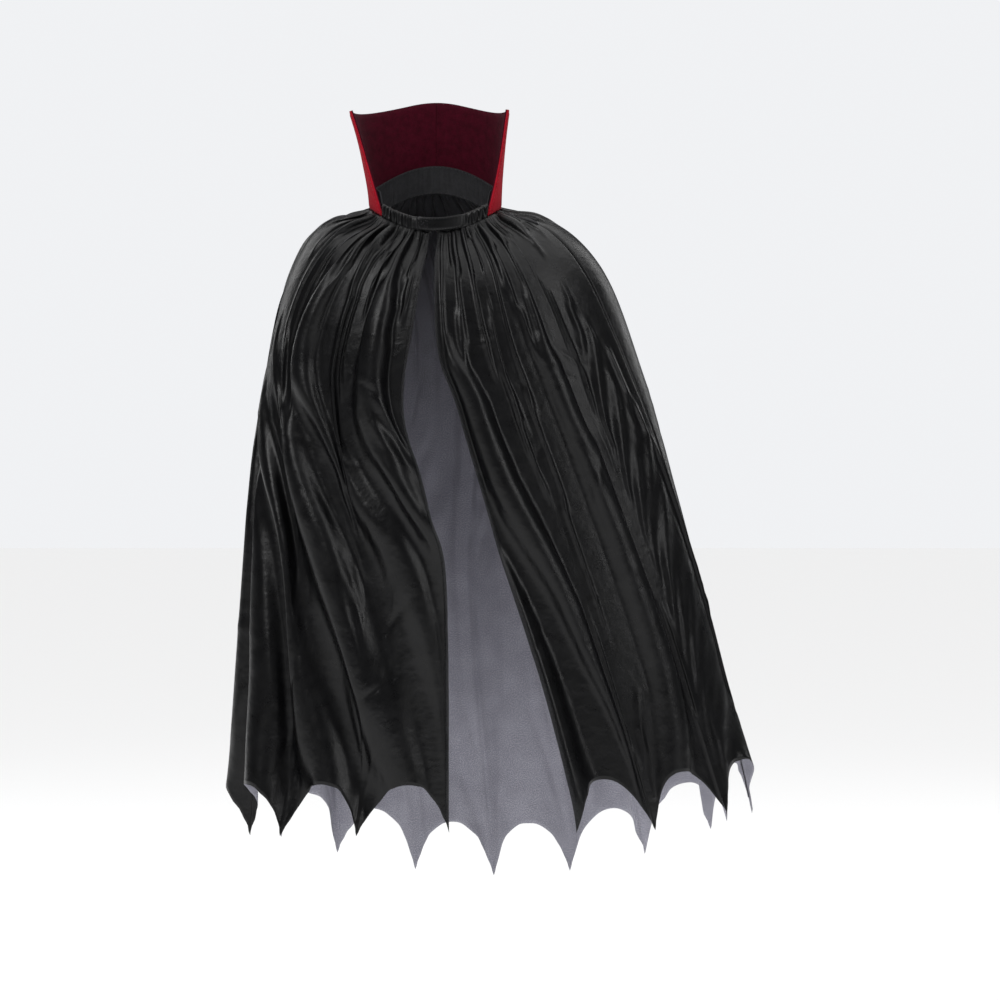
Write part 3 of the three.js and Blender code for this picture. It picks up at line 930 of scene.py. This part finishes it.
def edge_loops(edge, beside, outwards, thickness, pitch=0.0024, width=0.0028):
    """Overlock thread round the free edge of a strip of the given thickness."""
    along = lengths_along(edge)
    inwards = unit(beside - edge)
    lift, past_edge, middle = 0.0002, -0.0003, -thickness / 2
    under = -(thickness + lift)
    steps = [
        (0.0, width, lift), (0.4, 0.0, lift), (0.45, past_edge, middle), (0.5, 0.0, under),
        (0.75, width / 2, under), (0.92, 0.0, under), (0.96, past_edge, middle),
    ]
    starts = np.arange(0, along[-1] - pitch, pitch)
    path = []
    for part, distance, height in steps:
        places = starts + part * pitch
        point, inward, outward = [sampled(line, along, places) for line in (edge, inwards, outwards)]
        path.append(point + inward * distance + outward * height)
    return np.stack(path, 1).reshape(-1, 3)


def neck_point(angle, out, up):
    """A point beside the neckline, out from it and up, at angles from the throat."""
    out, up = np.asarray(out)[..., None], np.asarray(up)[..., None]
    return drape(angle, 0 * angle) + way_out(angle) * out + [0, 0, 1] * up


def way_out(angle):
    """The level way out from the middle of the neck at angles from the throat."""
    return np.stack([np.sin(angle), -np.cos(angle), 0 * angle], -1)


def neck_band(name, angles, profile, thickness, looks, ripple):
    """A strip along the neckline; profile is a list of (out, up) from its low edge, in millimetres."""
    outs, ups = np.array(profile, float).T / 1000
    angle = angles + 0 * outs
    grid = neck_point(angle, outs + ripple, ups + 0 * angle)[:, ::-1]
    return layer(name, grid, 0, thickness, looks, grid_flat(grid)), grid


def add_neck_bands():
    """The tape in the gathers, the binding behind the collar and the ruffled casing of each front."""
    black_tape = [LOOKS["black_tape"]] * 3
    angles = np.linspace(2 * THROAT, 2 * np.pi - 2 * THROAT, 420)[:, None]
    pucker = uneven_wave(angles / (2 * np.pi), 60, 0.3, np.random.default_rng(5)) * 0.00022
    profile = [(-2.6, -6.9), (-2.5, -5), (-2.5, -3), (-2.6, -1.1)]
    tape, _ = neck_band("neck_tape", angles, profile, 0.0007, black_tape, pucker)
    finish_piece(tape, "tape", "cape", "gathering_tape")

    profile = [(-5.3, -6.8), (-5.0, -5.5), (-5.0, -2), (-5.1, 3), (-5.0, 9), (-5.0, 18.6), (-5.3, 19.9)]
    heights = np.array([max(up, 0) for _, up in profile]) / 1000 / COLLAR_HEIGHT["front"]
    start = collar_front(heights) + 0.012
    angles = start + (2 * np.pi - 2 * start) * np.linspace(0, 1, 320)[:, None]
    pucker = uneven_wave(angles / (2 * np.pi), 70, 0.3, np.random.default_rng(6)) * 0.00018
    binding, grid = neck_band("neck_binding_tape", angles, profile, 0.0008, black_tape, pucker)
    finish_piece(binding, "tape", "cape", "neck_binding")
    add_binding_stitches(grid)

    for side in SIGN:
        add_casing(side)


def add_binding_stitches(grid):
    """Two rows of stitches along the inside of the binding."""
    normal = grid_normals(grid)
    paths = []
    for row in (1, -2):
        inside = grid[:, row] - normal[:, row] * 0.0009
        paths += running_stitches(inside, -normal[:, row])
    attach(threads("binding_stitches", paths), "cape")


def add_casing(side):
    """The folded, ruffled band at the top of a front, flat under the closing tab."""
    sign = SIGN[side]
    first, last = THROAT, COLLAR_START - 0.004
    flat_until = math.radians(25 if side == "left" else 17)
    angles = np.linspace(first, last, 180)
    ruffle = uneven_wave(angles / (last - first), 8, 0.3, np.random.default_rng(7 + sign))
    ruffle *= 0.12 + 0.88 * smooth(angles, flat_until, flat_until + 0.12)
    # Each wall of the fold as (out, up) in millimetres, from the foot of the front to the foot of the back
    outer_wall = [(-0.5, -2.5), (-0.45, 0.2), (-0.4, 1.2), (-0.5, 2.2), (-0.4, 4.5), (-0.5, 8), (-0.6, 10.6),
                  (-1.3, 11.7), (-2.6, 12.0)]
    inner_wall = [(-3.9, 11.6), (-4.6, 10.4), (-4.9, 8), (-5.0, 4), (-5.1, 0), (-5.2, -6.8)]
    outs, ups = np.array(outer_wall + inner_wall).T / 1000
    height = ramp(ups, (-0.007, 0.1), (0.001, 0.25), (0.004, 0.9), (0.012, 1.4)) * 0.001
    swing = np.repeat([1.0, 0.55], [len(outer_wall), len(inner_wall)]) * height
    out = outs + ruffle[:, None] * swing
    up = ups + np.abs(ruffle[:, None]) * np.where(ups > 0.009, -0.0004, 0)
    grid = facing_out(neck_point(sign * angles[:, None] + 0 * out, out, up)[:, ::-1], side)
    flat = grid_flat(grid) * [1.6, 1]
    piece = layer(f"{side}_casing_ruffle", grid, 0, CLOTH_THICKNESS, SATIN_LOOKS, flat)
    finish_piece(piece, "satin", "cape", f"{side}_neck_casing")


# The collar

def collar_front(height):
    """The angle from the throat of the collar's front ends, which slant back as they rise."""
    return COLLAR_START + COLLAR_SLANT * height * (2 - height)


def collar_surface(side, across, down):
    """The outside of one half of the collar, from its front end to the centre back and from its top down."""
    height = 1 - down
    start = collar_front(height)
    angle = SIGN[side] * (start + (np.pi - start) * across)
    lean_back = smooth(across, 0, LEAN_REACH[side])
    flare = COLLAR_LEAN[side] + (COLLAR_LEAN["back"] - COLLAR_LEAN[side]) * lean_back
    tall = COLLAR_HEIGHT["front"] + (COLLAR_HEIGHT["back"] - COLLAR_HEIGHT["front"]) * smooth(across, 0, 0.8)
    up = np.sqrt(tall**2 - flare**2) * height
    return neck_point(angle + 0 * up, flare * height**1.6 - 0.0004, up)


def collar_point(side, across, down):
    return collar_surface(side, np.array(float(across)), np.array(float(down)))


def bend_collar(piece, side):
    """Bakes the transform of a layer of the collar into its mesh; the line where its front point folds down
    is worked out but not used.
    """
    low = collar_point(side, 0, 1 - POINT_LOW)
    high = collar_point(side, POINT_BACK, 0)
    way = across_line(low, high, collar_point(side, 0, 0))
    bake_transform(piece)


def edge_distances(flat):
    """Distance of each point of a flat pattern from its first, last, upper and lower edges."""
    x, y = flat[..., 0], flat[..., 1]
    return x - x.min(), x.max() - x, y - y.min(), y.max() - y


def uneven_swell(flat, generator):
    """Low swellings of the felt at places on its flat pattern."""
    x, y = flat[..., 0], flat[..., 1]
    swell = np.zeros(x.shape)
    for _ in range(14):
        middle_x, middle_y = generator.uniform(0, x.max()), generator.uniform(0, y.max())
        reach = generator.uniform(0.012, 0.03)
        rise = generator.uniform(-0.0007, 0.0007)
        swell += rise * np.exp(-((x - middle_x) ** 2 + (y - middle_y) ** 2) / reach**2)
    return swell


def add_collar(side):
    """The two felts of one half of the collar, pinched together at its edges, and the board between them."""
    across, down = np.meshgrid(np.linspace(0, 1, 121), np.linspace(0, 1, 49), indexing="ij")
    grid = facing_out(collar_surface(side, across, down), side)
    flat = grid_flat(grid)
    swell = uneven_swell(flat, np.random.default_rng(20 + SIGN[side]))
    first, last, top, foot = edge_distances(flat)
    front, back = (first, last) if side == "left" else (last, first)
    grid = grid + grid_normals(grid) * (swell * smooth(back, 0, 0.015))[..., None]
    pinch = 1 - smooth(np.minimum.reduce([front, top, foot]), 0, 0.0045)[..., None]
    whole, inside = np.s_[:, :], np.s_[3:-3, 2:-2]
    layers = [
        ("outer", "outer_felt", "red_felt", "felt", whole, 0.0007 * pinch, 0.0013 + 0.0007 * pinch),
        ("stiffener", "board", "interlining", "interlining", inside, 0.0017, 0.0026),
        ("lining", "lining_felt_painted_shade", "lining_felt_painted_shade", "felt", whole, 0.0032 - 0.0011 * pinch,
         0.0043 - 0.0011 * pinch),
    ]
    for node, name, look, slot, part, start, end in layers:
        piece = layer(f"{side}_collar_{name}", grid[part], start, end, [LOOKS[look]] * 3, flat[part])
        bend_collar(piece, side)
        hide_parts(f"{side}_collar_{node}", f"{side}_collar_point_{node}")
    add_collar_stitches(side, grid)


def add_collar_stitches(side, grid):
    """A row of stitches on the outside of the collar, near its front and top edges."""
    normal = grid_normals(grid)
    front = 2 if side == "left" else -3
    columns = slice(2, -1) if side == "left" else slice(-3, None, -1)
    path = np.vstack([grid[front, ::-1][:-3], grid[columns, 2]])
    lift = np.vstack([normal[front, ::-1][:-3], normal[columns, 2]])
    paths = running_stitches(path - lift * 0.0002, lift, 0.0028, 0.0012, 0.0002)
    bend_collar(threads(f"{side}_collar_topstitching", paths, 0.0002, "red_thread"), side)


# The closing

def rounded(across, half_height, corner, length):
    """Half the height of a strip with rounded corners at a place along its length."""
    near_end = np.minimum(across, length - across)
    inset = np.clip(corner - near_end, 0, corner)
    return half_height - (corner - np.sqrt(np.maximum(corner**2 - inset**2, 0)))


def neck_patch(first, last, out, low, high, corner, columns=60, rows=12):
    """A grid of points on a rounded patch along the neckline; angles are in degrees and sizes in metres."""
    angles = np.radians(first + (last - first) * (1 - np.cos(np.linspace(0, np.pi, columns))) / 2)
    middle = neck_point(angles, out + 0 * angles, (low + high) / 2 + 0 * angles)
    along = lengths_along(middle)
    half = rounded(along, (high - low) / 2, corner, along[-1])
    up = (low + high) / 2 + half[:, None] * np.linspace(1, -1, rows)
    return neck_point(angles[:, None] + 0 * up, out + 0 * up, up)


def add_closing():
    """The closing tab and its hooks peel away from the loops on the left casing."""
    outside = neck_patch(-14, 24, TAB_OUT, 0.0006, 0.0126, corner=0.003)
    flat = grid_flat(outside)
    normal = grid_normals(outside)
    pillow = smooth(np.minimum.reduce(edge_distances(flat)), 0, 0.0022)[..., None]
    puff = outside + normal * 0.00035 * (pillow - 1)
    tab = thick_sheet("closing_tab_satin", puff, outside - normal * 0.0013, [LOOKS["satin"]] * 3, flat)
    finish_piece(tab, "satin", "closing_tab", "closure_tab")
    strips = [  # name, look, CAD node, out from the neckline, thickness, angles in degrees, body
        ("hook_patch", "hooks", "hook_strip", 0.0020, 0.0008, 5, 23, "closing_tab"),
        ("loop_patch", "loops", "loop_strip", 0.0008, 0.0009, 5, 23, "cape"),
        ("tab_backing", "black_tape", "tab_patch", 0.0020, 0.0021, -15, -4, "cape"),
    ]
    for name, look, node, out, thickness, first, last, body in strips:
        grid = neck_patch(first, last, out, *PATCH_HEIGHTS, corner=0.0015)
        piece = layer(name, grid, 0, thickness, [LOOKS[look]] * 3, grid_flat(grid))
        slot = "tape" if look == "black_tape" else "hook_loop"
        finish_piece(piece, slot, body, node)
    add_tab_stitches()


def stitched_line(start, end, out):
    """Stitches between two (angle in degrees, height in millimetres) places round the neck."""
    t = np.linspace(0, 1, 30)
    angle = np.radians(start[0] + (end[0] - start[0]) * t)
    points = neck_point(angle, out + 0 * t, (start[1] + (end[1] - start[1]) * t) / 1000)
    return running_stitches(points, way_out(angle), 0.0018, 0.0008, 0.00018)


def add_tab_stitches():
    """A seam round the tab, and a box with a cross where it is sewn on."""
    low, high = 2.0, 11.2  # millimetres
    sewn_end, box_end, free_end = -12.6, -5.5, 22.6  # degrees
    corners = [(sewn_end, low), (free_end, low), (free_end, high), (sewn_end, high), (sewn_end, low)]
    box = [(box_end, low), (box_end, high)]
    cross = [[(sewn_end, low), (box_end, high)], [(sewn_end, high), (box_end, low)]]
    paths = []
    for a, b in [*zip(corners[:-1], corners[1:]), box, *cross]:
        paths += stitched_line(a, b, TAB_OUT)
    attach(threads("tab_stitches", paths, 0.00018), "closing_tab")


def add_label(surface):
    """A blank label sewn into the left side seam."""
    column = seam_columns()[0]
    length = surface.flat[column, -1, 1]
    rows = np.interp(np.linspace(0.55, 0.61, 14) * length, surface.flat[column, :, 1],
                     np.arange(surface.flat.shape[1]))
    points, normals = surface.at(column, rows)
    out = np.linspace(0, 1, 12)[:, None, None]
    inward = unit(-normals * [1, 1, 0] + [0.1, 0.75, 0])
    droop = np.array([0, 0, -0.003]) * out**2
    curl = normals * 0.0025 * np.sin(out * 4)
    grid = points - normals * 0.0026 + inward * 0.021 * out + droop + curl
    piece = layer("blank_label", grid, 0, 0.0003, [LOOKS["label"]] * 3, grid_flat(grid))
    finish_piece(piece, "label", "cape", "care_label")


# Studio

def add_floor(half=15):
    vertices = [(x * half, y * half, -STAND_HEIGHT) for x, y in [(-1, -1), (1, -1), (1, 1), (-1, 1)]]
    look = new_look("pale_floor", Base_Color=(0.89, 0.89, 0.89, 1), Roughness=0.7)
    new_mesh("studio_floor", vertices, [[0, 1, 2, 3]], [look])


def add_light(name, place, size, power, target=(0.05, 0.0, -0.25)):
    lamp = bpy.data.lights.new(name, "AREA")
    lamp.shape = "RECTANGLE"
    lamp.size, lamp.size_y = size
    lamp.energy = power
    light = bpy.data.objects.new(name, lamp)
    bpy.context.scene.collection.objects.link(light)
    light.location = place
    light.visible_camera = False
    light.rotation_euler = (Vector(target) - Vector(place)).to_track_quat("-Z", "Y").to_euler()


def add_lights():
    """A white surround, a broad light overhead, and softboxes that draw highlights down the folds."""
    world = bpy.data.worlds.new("studio")
    world.use_nodes = True
    tree = world.node_tree
    seen = add_node(tree, "LightPath").outputs["Is Camera Ray"]
    surround = tree.nodes["Background"]
    surround.inputs["Color"].default_value = (0.95, 0.96, 0.98, 1)
    tree.links.new(spread(seen, 0.11, 0.92, 0, 1), surround.inputs["Strength"])
    bpy.context.scene.world = world
    bpy.context.scene.view_settings.view_transform = "Standard"
    add_overhead_light()
    add_light("key", (-1.7, -2.3, 1.5), (1.0, 1.5), 40)
    add_light("fill", (2.4, -1.8, 0.9), (0.6, 1.9), 22)
    add_light("left_rim", (-1.9, 1.9, 0.9), (0.7, 1.7), 10)
    add_light("right_rim", (1.9, 1.9, 0.9), (0.7, 1.7), 10)


def add_overhead_light():
    """A broad, even light from above that keeps the floor pale to its far edge."""
    lamp = bpy.data.lights.new("overhead", "SUN")
    lamp.angle = math.radians(100)
    lamp.energy = 2.9
    bpy.context.scene.collection.objects.link(bpy.data.objects.new("overhead", lamp))


add_floor()
add_lights()
add_neck_bands()
cloth_points, cloth_flat = finished_cloth()
add_panels(cloth_points, cloth_flat)
cloth_surface = Surface(cloth_points, cloth_flat)
add_edge_threads(cloth_surface)
add_side_seams(cloth_surface)
add_label(cloth_surface)
for side in SIGN:
    add_collar(side)
add_closing()
